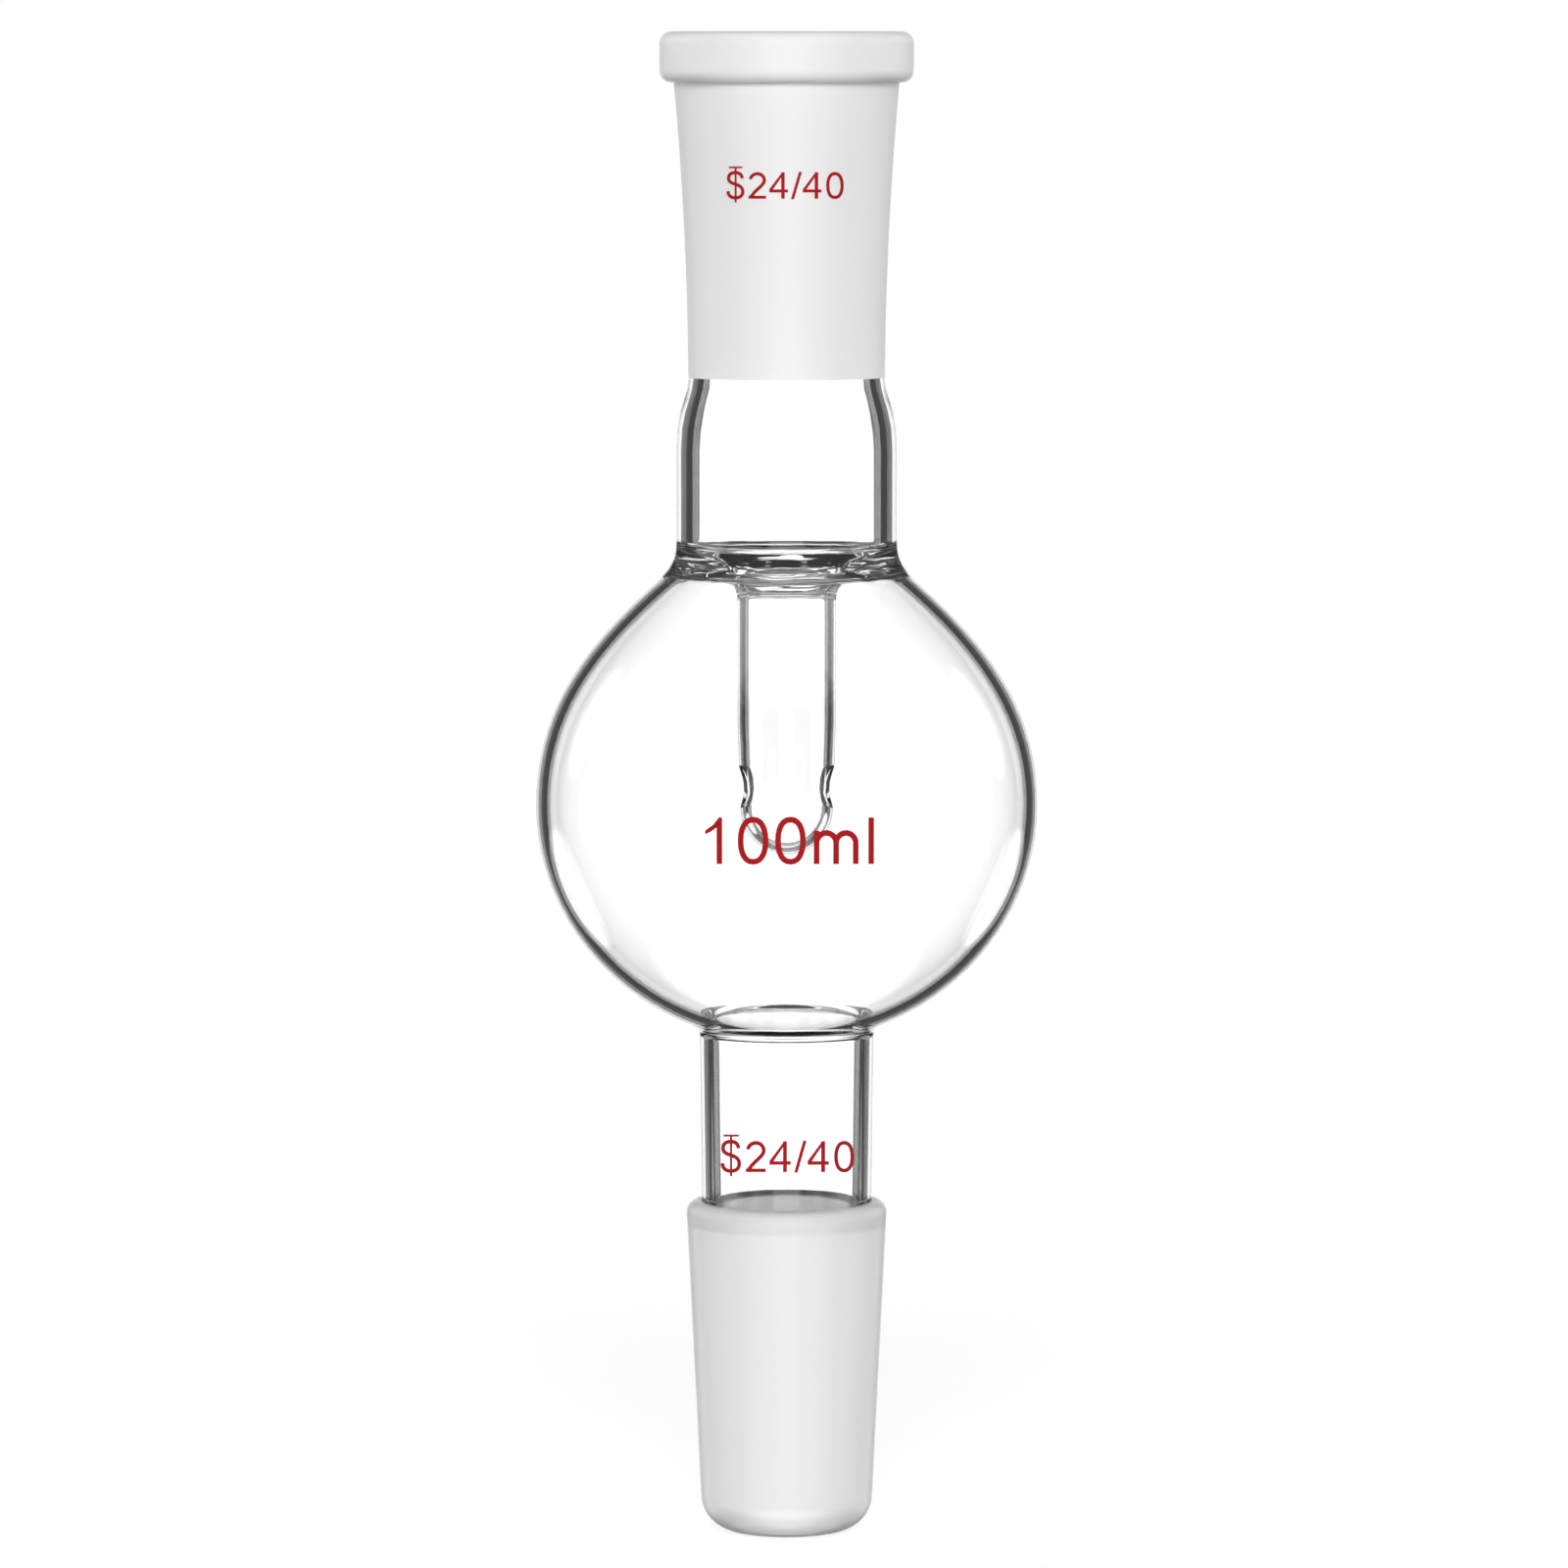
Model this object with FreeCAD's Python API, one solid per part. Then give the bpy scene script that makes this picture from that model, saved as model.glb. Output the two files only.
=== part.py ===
import FreeCAD, Part
import math
import os

# A bump trap: a hollow glass bulb that sits between a flask and an evaporator and
# catches liquid that boils over. It is blown and sealed from tube as one piece of glass.
# From the top down it has a ground socket with a beaded rim, a short neck, a ring seal,
# the bulb, a short tube and a ground cone. The ring seal carries a vapour tube that
# hangs inside the bulb. Its tip is closed, and vapour enters by two side holes.
# Lengths are in millimetres. The z axis is the axis of the glass, and z = 0 is the end
# of the cone, on which the part stands. The side holes of the vapour tube face along x.

# Ground joints, both of the same standard size
JOINT_DIAMETER = 24.0          # at the wide end of the ground taper
JOINT_TAPER = 0.1              # change of diameter for each unit of length

# Socket at the top
SOCKET_DEPTH = 41.2            # ground bore, from the rim to its foot
SOCKET_WALL_TOP = 1.8          # just under the bead
SOCKET_WALL_MIDDLE = 1.45
SOCKET_WALL_FOOT = 1.85
BEAD_DIAMETER = 30.4
BEAD_HEIGHT = 6.1
BEAD_ROUND = 1.5
MOUTH_BEVEL = 0.4              # inner edge of the rim

# Neck between the socket and the ring seal
NECK_DIAMETER = 26.65
NECK_WALL = 2.0
NECK_LENGTH = 20.0
NECK_SHOULDER = 8.6            # length over which the neck widens under the socket

# Ring seal, where neck, bulb and vapour tube are fused together
SEAL_HOLLOW_RADIUS = 5.0       # outside, where the neck turns into the bulb
SEAL_HEIGHT = 3.4              # from the foot of the seal up to the funnel's edge
SEAL_UNDERSIDE = 0.4           # underside, below the foot of the seal
SEAL_CORNER_RADIUS = 2.0       # underside to the wall of the bulb
FUNNEL_FALL = 25.0             # degrees below level
FUNNEL_EDGE_RADIUS = 1.2       # neck bore to funnel
THROAT_RADIUS = 3.5            # funnel to the bore of the vapour tube
TUBE_ROOT_RADIUS = 3.0         # underside of the seal to the vapour tube

# Bulb
BULB_DIAMETER = 60.9
BULB_WALL = 1.6
BULB_RISE = 27.6               # from the widest plane up to the foot of the seal
BULB_DROP = 28.9               # lower half, down to where it would close on the axis
SHOULDER_ANGLE = 49.0          # degrees from the axis, at the foot of the seal
SHOULDER_SIDE_HANDLE = 12.2    # pull of the shoulder curve at the widest plane
SHOULDER_TOP_HANDLE = 11.8     # pull of the shoulder curve at the foot of the seal

# Vapour tube inside the bulb
VAPOUR_TUBE_DIAMETER = 11.9
VAPOUR_TUBE_WALL = 0.95
VAPOUR_TUBE_REACH = 33.6       # from the foot of the seal down to the closed tip
TIP_DIAMETER = 11.2
TIP_NARROWING_LENGTH = 10.0    # length over which the tube narrows to its tip
SIDE_HOLE_DIAMETER = 4.7
SIDE_HOLE_HEIGHT = 8.3         # centre of the holes above the tip's lowest point
SIDE_HOLE_EDGE_RADIUS = 0.25   # fire-polished rims, inside and outside the tube

# Tube between the bulb and the cone
LOWER_TUBE_TOP_DIAMETER = 21.1
LOWER_TUBE_FOOT_DIAMETER = 20.6
LOWER_TUBE_WALL = 1.65
LOWER_TUBE_LENGTH = 20.7
BULB_FOOT_FILLET = 0.8         # outside, bulb to lower tube
BULB_DRAIN_ROUND = 0.8         # inside, bulb to lower tube

# Cone at the bottom
CONE_LENGTH = 40.0             # from its shoulder to its end
CONE_GROUND_LENGTH = 37.2      # ground zone, from its wide end to the end of the cone
CONE_WALL = 1.85
CONE_SHOULDER_ROUND = 1.45
CONE_BORE_SHOULDER = 5.5       # length over which the bore widens into the cone
CONE_END_ROUND = 4.2           # outside, where the end is drawn in

SMALLEST_EDGE = 0.001          # a shorter line is left out of the outline


# Sizes that follow from the ones above
joint_radius = JOINT_DIAMETER / 2
taper_slope = JOINT_TAPER / 2
neck_radius = NECK_DIAMETER / 2
neck_bore = neck_radius - NECK_WALL
bulb_radius = BULB_DIAMETER / 2
tube_radius = VAPOUR_TUBE_DIAMETER / 2
tube_bore = tube_radius - VAPOUR_TUBE_WALL
tip_radius = TIP_DIAMETER / 2
lower_top_radius = LOWER_TUBE_TOP_DIAMETER / 2
lower_foot_radius = LOWER_TUBE_FOOT_DIAMETER / 2
lower_bore_top = lower_top_radius - LOWER_TUBE_WALL
lower_bore_foot = lower_foot_radius - LOWER_TUBE_WALL
shoulder_angle = math.radians(SHOULDER_ANGLE)
funnel_fall = math.radians(FUNNEL_FALL)

# Heights, from the cone's end upwards
cone_shoulder_z = CONE_LENGTH
bulb_foot_z = cone_shoulder_z + LOWER_TUBE_LENGTH
bulb_foot_depth = BULB_DROP * math.sqrt(1 - (lower_top_radius / bulb_radius) ** 2)
bulb_middle_z = bulb_foot_z + bulb_foot_depth
seal_foot_z = bulb_middle_z + BULB_RISE
seal_foot_radius = neck_radius + SEAL_HOLLOW_RADIUS * (1 - math.cos(shoulder_angle))
neck_foot_z = seal_foot_z + SEAL_HOLLOW_RADIUS * math.sin(shoulder_angle)
funnel_edge_z = seal_foot_z + SEAL_HEIGHT
underside_z = seal_foot_z - SEAL_UNDERSIDE
socket_foot_z = neck_foot_z + NECK_LENGTH
rim_z = socket_foot_z + SOCKET_DEPTH
bead_foot_z = rim_z - BEAD_HEIGHT
tip_z = seal_foot_z - VAPOUR_TUBE_REACH
tip_middle_z = tip_z + tip_radius
side_hole_z = tip_z + SIDE_HOLE_HEIGHT


def at(radius, height):
    """A point of the half section, which lies in the plane of x and z."""
    return FreeCAD.Vector(radius, 0, height)


def bore_of_socket(height):
    return joint_radius - (rim_z - height) * taper_slope


def side_of_cone(height):
    return joint_radius - (CONE_GROUND_LENGTH - height) * taper_slope


class Outline:
    """A chain of edges, drawn from point to point round the half section."""

    def __init__(self, start):
        self.start = start
        self.here = start
        self.edges = []

    def line(self, end):
        """A straight edge, left out where the outline is at its end already."""
        if (end - self.here).Length > SMALLEST_EDGE:
            self.edges.append(Part.LineSegment(self.here, end).toShape())
        self.here = end

    def arc(self, middle, end):
        self.edges.append(Part.Arc(self.here, middle, end).toShape())
        self.here = end

    def curve(self, *poles):
        """A Bezier curve from here to the last of the poles."""
        bezier = Part.BezierCurve()
        bezier.setPoles([self.here, *poles])
        self.edges.append(bezier.toShape())
        self.here = poles[-1]

    def corner(self, point, onward, radius):
        """A line towards a corner, and a round that turns it towards the next point."""
        back = (self.here - point).normalize()
        ahead = (onward - point).normalize()
        half = back.getAngle(ahead) / 2
        reach = radius / math.tan(half)
        middle_way = (back + ahead).normalize()
        nearest = point + middle_way * (radius / math.sin(half) - radius)
        self.line(point + back * reach)
        self.arc(nearest, point + ahead * reach)

    def oval(self, radius, depth, middle_z, start_angle, end_angle):
        """An exact arc of an ellipse about a point of the axis."""
        half = (end_angle - start_angle) / 2
        centre_angle = start_angle + half
        weight = math.cos(half)
        handle = at(radius * math.cos(centre_angle) / weight,
                    middle_z + depth * math.sin(centre_angle) / weight)
        end = at(radius * math.cos(end_angle), middle_z + depth * math.sin(end_angle))
        bezier = Part.BezierCurve()
        bezier.setPoles([self.here, handle, end])
        bezier.setWeight(2, weight)
        self.edges.append(bezier.toShape())
        self.here = end

    def face(self):
        """The face inside the outline, once it is back at its start."""
        return Part.Face(Part.Wire(self.edges))


def oval_point(radius, depth, middle_z, distance):
    """Where the lower half of an oval is at a distance from the axis."""
    angle = -math.acos(distance / radius)
    return angle, at(distance, middle_z + depth * math.sin(angle))


def oval_meets_tube(radius, depth, middle_z, angle, tube):
    """Height at which the tangent of an oval, taken back, meets a tube's wall."""
    slope = -depth * math.cos(angle) / (radius * math.sin(angle))
    point_radius = radius * math.cos(angle)
    point_z = middle_z + depth * math.sin(angle)
    return point_z - slope * (point_radius - tube)


def draw_cone_and_lower_tube(outline):
    """The outside, from the drawn-in end up to the bulb."""
    end_corner = at(side_of_cone(0), 0)
    shoulder_corner = at(side_of_cone(cone_shoulder_z), cone_shoulder_z)
    tube_foot = at(lower_foot_radius, cone_shoulder_z)
    outline.corner(end_corner, shoulder_corner, CONE_END_ROUND)
    outline.corner(shoulder_corner, tube_foot, CONE_SHOULDER_ROUND)
    outline.line(tube_foot)


def draw_bulb_outside(outline):
    """The lower tube's top, the bulb, and the hollow below the neck."""
    angle, fillet_end = oval_point(bulb_radius, BULB_DROP, bulb_middle_z,
                                   lower_top_radius + BULB_FOOT_FILLET)
    corner_z = oval_meets_tube(bulb_radius, BULB_DROP, bulb_middle_z, angle,
                               lower_top_radius)
    corner = at(lower_top_radius, corner_z)
    outline.line(at(lower_top_radius, corner_z - (fillet_end - corner).Length))
    outline.curve(corner, fillet_end)
    outline.oval(bulb_radius, BULB_DROP, bulb_middle_z, angle, 0)
    draw_shoulder(outline, bulb_radius, at(seal_foot_radius, seal_foot_z), 1)
    half = shoulder_angle / 2
    hollow_x = neck_radius + SEAL_HOLLOW_RADIUS
    outline.arc(at(hollow_x - SEAL_HOLLOW_RADIUS * math.cos(half),
                   neck_foot_z - SEAL_HOLLOW_RADIUS * math.sin(half)),
                at(neck_radius, neck_foot_z))


def draw_shoulder(outline, radius, top, share):
    """The upper half of the bulb, from its widest plane up to a point near the seal."""
    side_handle = at(radius, bulb_middle_z + SHOULDER_SIDE_HANDLE * share)
    fall = at(math.sin(shoulder_angle), -math.cos(shoulder_angle))
    outline.curve(side_handle, top + fall * (SHOULDER_TOP_HANDLE * share), top)


def draw_neck_and_socket_outside(outline):
    """The neck, the socket's wall and the bead with its flat rim."""
    foot = at(bore_of_socket(socket_foot_z) + SOCKET_WALL_FOOT, socket_foot_z)
    middle_z = (socket_foot_z + bead_foot_z) / 2
    bead_radius = BEAD_DIAMETER / 2
    widening_z = socket_foot_z - NECK_SHOULDER
    outline.line(at(neck_radius, widening_z))
    outline.curve(at(neck_radius, widening_z + NECK_SHOULDER * 0.6),
                  at(foot.x, socket_foot_z - NECK_SHOULDER * 0.3),
                  foot)
    outline.arc(at(bore_of_socket(middle_z) + SOCKET_WALL_MIDDLE, middle_z),
                at(bore_of_socket(bead_foot_z) + SOCKET_WALL_TOP, bead_foot_z))
    outline.corner(at(bead_radius, bead_foot_z), at(bead_radius, rim_z), BEAD_ROUND)
    outline.corner(at(bead_radius, rim_z), at(joint_radius, rim_z), BEAD_ROUND)
    outline.line(at(joint_radius + MOUTH_BEVEL, rim_z))


def draw_socket_and_neck_bore(outline):
    """The ground bore, and the wider bore of the neck below it."""
    bore_foot = at(bore_of_socket(socket_foot_z), socket_foot_z)
    widening_z = socket_foot_z - NECK_SHOULDER
    bevel_foot_z = rim_z - MOUTH_BEVEL
    outline.line(at(bore_of_socket(bevel_foot_z), bevel_foot_z))
    outline.line(bore_foot)
    outline.curve(at(bore_foot.x, socket_foot_z - NECK_SHOULDER * 0.3),
                  at(neck_bore, widening_z + NECK_SHOULDER * 0.5),
                  at(neck_bore, widening_z))


def draw_vapour_tube(outline):
    """The funnel of the ring seal, and both sides of the closed vapour tube."""
    funnel_edge = at(neck_bore, funnel_edge_z)
    throat_z = funnel_edge_z - (neck_bore - tube_bore) * math.tan(funnel_fall)
    throat = at(tube_bore, throat_z)
    narrowing_z = tip_middle_z + TIP_NARROWING_LENGTH
    tip_bore = tip_radius - VAPOUR_TUBE_WALL
    diagonal = math.sqrt(0.5)
    outline.corner(funnel_edge, throat, FUNNEL_EDGE_RADIUS)
    outline.corner(throat, at(tube_bore, narrowing_z), THROAT_RADIUS)
    outline.line(at(tube_bore, narrowing_z))
    outline.line(at(tip_bore, tip_middle_z))
    outline.arc(at(tip_bore * diagonal, tip_middle_z - tip_bore * diagonal),
                at(0, tip_middle_z - tip_bore))
    outline.line(at(0, tip_z))
    outline.arc(at(tip_radius * diagonal, tip_middle_z - tip_radius * diagonal),
                at(tip_radius, tip_middle_z))
    outline.line(at(tube_radius, narrowing_z))


def draw_bulb_inside(outline):
    """The underside of the ring seal, and the inner wall down to the drain."""
    inner_radius = bulb_radius - BULB_WALL
    inner_drop = BULB_DROP - BULB_WALL
    inward = at(-math.cos(shoulder_angle), -math.sin(shoulder_angle))
    shoulder_top = at(seal_foot_radius, seal_foot_z) + inward * BULB_WALL
    rise = underside_z - shoulder_top.z
    underside_edge = at(shoulder_top.x - rise * math.tan(shoulder_angle), underside_z)
    outline.corner(at(tube_radius, underside_z), underside_edge, TUBE_ROOT_RADIUS)
    outline.corner(underside_edge, shoulder_top, SEAL_CORNER_RADIUS)
    outline.line(shoulder_top)
    start = outline.here
    share = 1 - BULB_WALL / bulb_radius
    fall = at(math.sin(shoulder_angle), -math.cos(shoulder_angle))
    outline.curve(start + fall * (SHOULDER_TOP_HANDLE * share),
                  at(inner_radius, bulb_middle_z + SHOULDER_SIDE_HANDLE * share),
                  at(inner_radius, bulb_middle_z))
    angle, drain = oval_point(inner_radius, inner_drop, bulb_middle_z,
                              lower_bore_top + BULB_DRAIN_ROUND)
    outline.oval(inner_radius, inner_drop, bulb_middle_z, 0, angle)
    corner_z = oval_meets_tube(inner_radius, inner_drop, bulb_middle_z, angle,
                               lower_bore_top)
    corner = at(lower_bore_top, corner_z)
    outline.curve(corner, at(lower_bore_top, corner_z - (drain - corner).Length))


def draw_lower_bore(outline):
    """The bore of the lower tube and of the cone, down to the drawn-in end."""
    bore_foot = at(lower_bore_foot, cone_shoulder_z)
    cone_top_z = cone_shoulder_z - CONE_BORE_SHOULDER
    cone_top = at(side_of_cone(cone_top_z) - CONE_WALL, cone_top_z)
    end_turn = at(side_of_cone(0) - CONE_WALL, CONE_WALL)
    end_middle_x = outline.start.x
    outline.line(bore_foot)
    outline.curve(at(bore_foot.x, cone_shoulder_z - CONE_BORE_SHOULDER * 0.4),
                  at(cone_top.x, cone_top_z + CONE_BORE_SHOULDER * 0.4),
                  cone_top)
    outline.corner(end_turn, at(end_middle_x, CONE_WALL), CONE_END_ROUND - CONE_WALL)
    outline.line(at(end_middle_x, CONE_WALL))
    outline.arc(at(end_middle_x - CONE_WALL / 2, CONE_WALL / 2), outline.start)


def half_section():
    """The section of the glass, on one side of the axis."""
    end_corner = at(side_of_cone(0), 0)
    turn = math.pi / 2 - math.atan(taper_slope)
    end_reach = CONE_END_ROUND / math.tan((math.pi - turn) / 2)
    outline = Outline(at(end_corner.x - end_reach, 0))
    draw_cone_and_lower_tube(outline)
    draw_bulb_outside(outline)
    draw_neck_and_socket_outside(outline)
    draw_socket_and_neck_bore(outline)
    draw_vapour_tube(outline)
    draw_bulb_inside(outline)
    draw_lower_bore(outline)
    return outline.face()


def drilled_rims(glass):
    """The rims of the side holes, on both faces of the vapour tube's wall."""
    reach = SIDE_HOLE_DIAMETER / 2
    middles = [at(side * (tube_radius - VAPOUR_TUBE_WALL / 2), side_hole_z)
               for side in (-1, 1)]
    return [edge for edge in glass.Edges
            if any((edge.BoundBox.Center - middle).Length < reach for middle in middles)]


def bump_trap():
    """The revolved glass, with the two side holes drilled through the vapour tube."""
    axis = FreeCAD.Vector(0, 0, 1)
    glass = half_section().revolve(at(0, 0), axis, 360)
    # The seam of the revolved faces is turned away from the side holes.
    glass.rotate(at(0, 0), axis, 90)
    drill_reach = VAPOUR_TUBE_DIAMETER
    drill = Part.makeCylinder(SIDE_HOLE_DIAMETER / 2, 2 * drill_reach,
                              at(-drill_reach, side_hole_z), FreeCAD.Vector(1, 0, 0))
    drilled = glass.cut(drill).Solids[0]
    return drilled.makeFillet(SIDE_HOLE_EDGE_RADIUS, drilled_rims(drilled)).Solids[0]


os.makedirs("parts", exist_ok=True)
bump_trap().exportStep("parts/bump_trap.step")
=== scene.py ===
import math

import bmesh
import bpy
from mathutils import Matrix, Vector


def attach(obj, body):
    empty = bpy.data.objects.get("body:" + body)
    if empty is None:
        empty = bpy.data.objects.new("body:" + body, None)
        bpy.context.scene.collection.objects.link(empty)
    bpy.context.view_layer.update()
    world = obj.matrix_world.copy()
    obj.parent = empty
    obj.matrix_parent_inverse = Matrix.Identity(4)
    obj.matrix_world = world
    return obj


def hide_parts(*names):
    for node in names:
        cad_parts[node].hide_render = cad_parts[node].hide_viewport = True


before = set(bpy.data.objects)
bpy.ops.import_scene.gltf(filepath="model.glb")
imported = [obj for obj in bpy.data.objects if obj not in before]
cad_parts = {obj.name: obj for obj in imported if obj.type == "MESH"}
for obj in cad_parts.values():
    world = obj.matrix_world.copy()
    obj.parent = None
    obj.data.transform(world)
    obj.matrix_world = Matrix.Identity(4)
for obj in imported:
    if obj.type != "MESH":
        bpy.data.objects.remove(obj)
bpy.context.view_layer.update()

# A bump trap of clear glass with ground joints, in a white studio.
# The section of the glass is given in millimetres, and the objects of the scene in metres.
MM = 0.001

# Ground joints
JOINT_RADIUS = 12.0            # at the wide end of the ground taper
TAPER_SLOPE = 0.05             # change of radius for each unit of length

# Socket at the top
SOCKET_DEPTH = 41.2
SOCKET_WALL_TOP = 1.8
SOCKET_WALL_MIDDLE = 1.45
SOCKET_WALL_FOOT = 1.85
BEAD_RADIUS = 15.2
BEAD_HEIGHT = 6.1
BEAD_ROUND = 1.5
MOUTH_BEVEL = 0.4

# Neck
NECK_RADIUS = 13.325
NECK_WALL = 2.0
NECK_LENGTH = 20.0
NECK_SHOULDER = 8.6

# Ring seal
SEAL_HOLLOW_RADIUS = 5.0
SEAL_HEIGHT = 3.4
SEAL_UNDERSIDE = 0.4
SEAL_CORNER_RADIUS = 2.0
FUNNEL_FALL = math.radians(25.0)
FUNNEL_EDGE_RADIUS = 1.2
THROAT_RADIUS = 3.5
TUBE_ROOT_RADIUS = 3.0

# Bulb
BULB_RADIUS = 30.45
BULB_WALL = 1.6
BULB_RISE = 27.6
BULB_DROP = 28.9
SHOULDER_ANGLE = math.radians(49.0)
SHOULDER_SIDE_HANDLE = 12.2
SHOULDER_TOP_HANDLE = 11.8

# Vapour tube inside the bulb
TUBE_RADIUS = 5.95
TUBE_WALL = 0.95
TUBE_REACH = 33.6
TIP_RADIUS = 5.6
TIP_NARROWING_LENGTH = 10.0
SIDE_HOLE_RADIUS = 2.35
SIDE_HOLE_HEIGHT = 8.3
SIDE_HOLE_EDGE_RADIUS = 0.25
SIDE_HOLE_BAND_TOP = 11.4      # above the tip's lowest point, where the drilled band ends

# Tube between the bulb and the cone
LOWER_TOP_RADIUS = 10.55
LOWER_FOOT_RADIUS = 10.3
LOWER_WALL = 1.65
LOWER_LENGTH = 20.7
BULB_FOOT_FILLET = 0.8
BULB_DRAIN_ROUND = 0.8

# Cone at the bottom
CONE_LENGTH = 40.0
CONE_GROUND_TOP = 37.2
CONE_WALL = 1.85
CONE_SHOULDER_ROUND = 1.45
CONE_BORE_SHOULDER = 5.5
CONE_END_ROUND = 4.2
CONE_GROUND_FOOT_TURN = math.radians(12.0)   # how far round the drawn-in end the ground begins

# Handles of the free curves, as shares of the height that the curve climbs
CONE_BORE_HANDLE = 0.4
NECK_OUTSIDE_HANDLE = 0.6
NECK_BORE_HANDLE = 0.5
SOCKET_FOOT_HANDLE = 0.3

# Fineness of the glass mesh
COLUMNS = 144
LINE_STEP = 2.0                # longest row along the section
TURN_STEP = math.radians(5.0)  # largest turn of the section in one row
KINK = math.radians(12.0)      # a sharper turn than this keeps a hard edge
SHORTEST_LINE = 0.001          # a straight part shorter than this is left out
ON_AXIS = 0.0001               # closer to the axis than this, a row is one point
HOLE_COLUMNS = (0, COLUMNS // 2)   # on which the middles of the side holes lie
HOLE_SIDE_COLUMNS = 17         # half width of the drilled patch, in columns
HOLE_RINGS = 4                 # between the patch's border and the rim of a hole
EDGE_RINGS = 5                 # across the rounded rim of a hole
WALL_RINGS = 2                 # along the wall of a hole

# Heights
bulb_foot_z = CONE_LENGTH + LOWER_LENGTH
bulb_middle_z = bulb_foot_z + BULB_DROP * math.sqrt(1 - (LOWER_TOP_RADIUS / BULB_RADIUS) ** 2)
seal_foot_z = bulb_middle_z + BULB_RISE
seal_foot_radius = NECK_RADIUS + SEAL_HOLLOW_RADIUS * (1 - math.cos(SHOULDER_ANGLE))
neck_foot_z = seal_foot_z + SEAL_HOLLOW_RADIUS * math.sin(SHOULDER_ANGLE)
funnel_edge_z = seal_foot_z + SEAL_HEIGHT
underside_z = seal_foot_z - SEAL_UNDERSIDE
socket_foot_z = neck_foot_z + NECK_LENGTH
widening_z = socket_foot_z - NECK_SHOULDER
rim_z = socket_foot_z + SOCKET_DEPTH
bead_foot_z = rim_z - BEAD_HEIGHT
tip_z = seal_foot_z - TUBE_REACH
tip_middle_z = tip_z + TIP_RADIUS
narrowing_z = tip_middle_z + TIP_NARROWING_LENGTH
side_hole_z = tip_z + SIDE_HOLE_HEIGHT
hole_band_top_z = tip_z + SIDE_HOLE_BAND_TOP

# Other measures that follow from those above
neck_bore = NECK_RADIUS - NECK_WALL
band_top_share = (hole_band_top_z - tip_middle_z) / TIP_NARROWING_LENGTH
cone_end_turn = math.pi / 2 - math.atan(TAPER_SLOPE)
seal_foot = Vector((seal_foot_radius, seal_foot_z))
shoulder_fall = Vector((math.sin(SHOULDER_ANGLE), -math.cos(SHOULDER_ANGLE)))

# Finishes: the clear walls, the ground faces of the joints, the socket's etched outside, the
# cone's shoulder, and the ring seal that was worked in the flame. Each has a name, a whiteness,
# a roughness, a clearness, the scale and the detail of its unevenness, and its relief.
CLEAR, GROUND, SATIN, HAZY, WORKED = range(5)
FINISHES = (("clear_glass", 0.995, 0, 1, 60, 0, 0.02),
            ("ground_glass", 0.96, 0.30, 0.20, 2500, 4, 0.0075),
            ("satin_glass", 0.96, 0.35, 0.13, 2500, 4, 0.0075),
            ("hazy_glass", 0.96, 0.30, 0.35, 2500, 4, 0.0075),
            ("worked_glass", 0.995, 0, 0.97, 450, 0, 0.08))
GLASS_IOR = 1.474

# Enamel of the print
ENAMEL_DEEP = (0.33, 0.007, 0.010, 1)
ENAMEL_THIN = (0.43, 0.011, 0.016, 1)
ENAMEL_PATCH_SCALE = 900
ENAMEL_PATCH_DETAIL = 3
ENAMEL_ROUGHNESS = 0.5
ENAMEL_SHINE = 0.25
PRINT_SINK = 0.02              # depth of the enamel's underside in the glass
PRINT_RISE = 0.03              # height of the enamel over the glass
PRINT_GRID = 0.45              # spacing of the cuts that let the enamel follow the glass

# Printed lines: the left edge, the width, the baseline and the height of a capital
SOCKET_PRINT = (-7.13, 13.87, 160.69, 3.12)
BULB_PRINT = (-9.53, 19.73, 83.51, 5.5)
LOWER_TUBE_PRINT = (-7.91, 15.99, 44.71, 3.72)

# Letters, in heights of a capital
PEN = 0.125                    # width of a stroke
BOW_STEPS = 24                 # straight parts of a bow
SWEEP_STEPS = 12               # straight parts of a sweep
SIGN_STEPS = 8                 # for each short curve of the taper sign
MERGE_DISTANCE = 1e-5          # points closer than this become one

# Camera, placed in metres
CAMERA_DISTANCE = 1.051        # level, from the axis of the glass
CAMERA_HEIGHT = 0.18036
CAMERA_SIDE = -0.00032
CAMERA_FALL = math.radians(4.897)
SENSOR_WIDTH = 36.0
FOCAL_PIXELS = 8963.0          # focal length, in pixels of the image
IMAGE_PIXELS = 1600.0          # width of the image

# Floor
FLOOR_HALF = 30.0
FLOOR_SINK = 0.02              # below the end that the glass stands on
FLOOR_GREY = 0.45
FLOOR_LIFT = 0.72              # its own light towards the camera, which makes it white

# Lamps: the turn from the front and the elevation, in degrees, and the strength
LAMPS = (("front_light", 0, 22, 0.95), ("left_light", -132, 8, 1.0),
         ("right_light", 132, 8, 1.0))
LAMP_SPREAD = math.radians(40.0)

# World, with angles in degrees. Each edge begins at its first angle and ends at its second,
# counted from the middle of the window or panel, or from the horizon at the top and bottom.
WORLD_LIGHT = 0.03             # on matte surfaces
WINDOW_LIGHT = 1.3             # makes up for what the surfaces of the glass reflect away
WINDOW_ELEVATION = -5
WINDOW_EDGE = (19.5, 18)
PANEL_EDGE = (30, 20)
PANEL_LIGHT = (0.06, 0.14)     # outside that edge and inside it
LOW_WINDOW_ELEVATION = -20.5
LOW_WINDOW_EDGE = (13.5, 11)
TOP_EDGE = (52, 62)
BOTTOM_EDGE = (46, 56)


def bore_of_socket(height):
    """Radius of the socket's ground bore."""
    return JOINT_RADIUS - (rim_z - height) * TAPER_SLOPE


def side_of_cone(height):
    """Radius of the cone's ground outside."""
    return JOINT_RADIUS - (CONE_GROUND_TOP - height) * TAPER_SLOPE


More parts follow.
